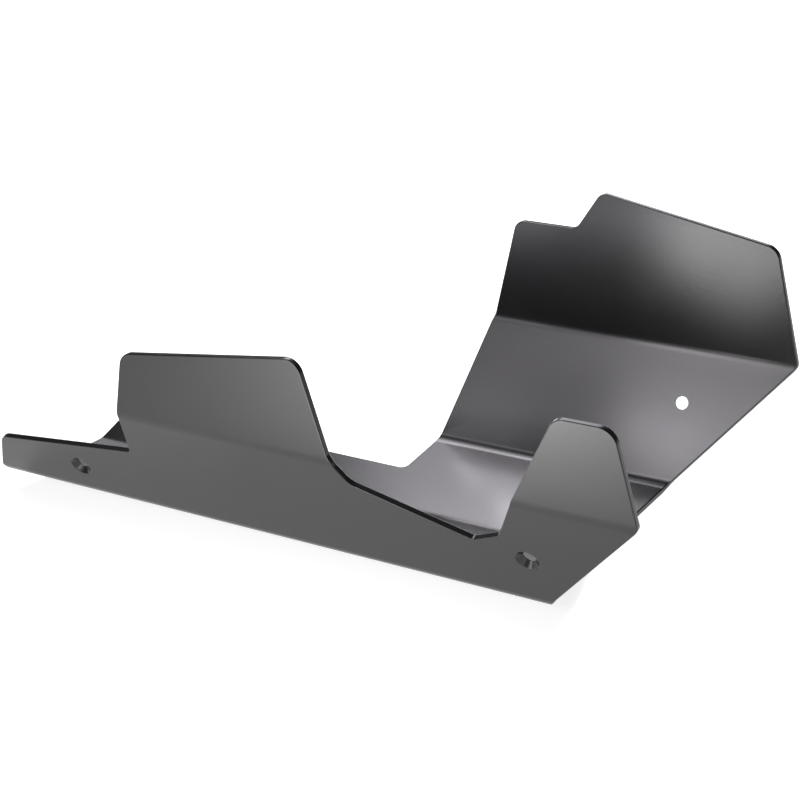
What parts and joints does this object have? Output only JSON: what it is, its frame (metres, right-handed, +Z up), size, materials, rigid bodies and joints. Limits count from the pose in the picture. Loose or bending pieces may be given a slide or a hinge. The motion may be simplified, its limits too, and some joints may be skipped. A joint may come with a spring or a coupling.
{
  "type": "motorcycle chin spoiler",
  "caption": "Folded sheet-metal chin spoiler: a shallow V floor with leaning sides and upright flanges, open at both ends, with countersunk screw holes.",
  "frame": {"origin": "on the underside of the keel fold, halfway along the overall length", "axes": "+X forward along the folds, to the flared, taller end; +Y to the side that has one tall flange; +Z up"},
  "size_m": [0.3764, 0.1868, 0.1466],
  "materials": {
    "powder_coat": "satin black powder coat over folded sheet metal"
  },
  "bodies": {
    "root": {"spoiler_shell": "powder_coat"}
  },
  "joints": []
}
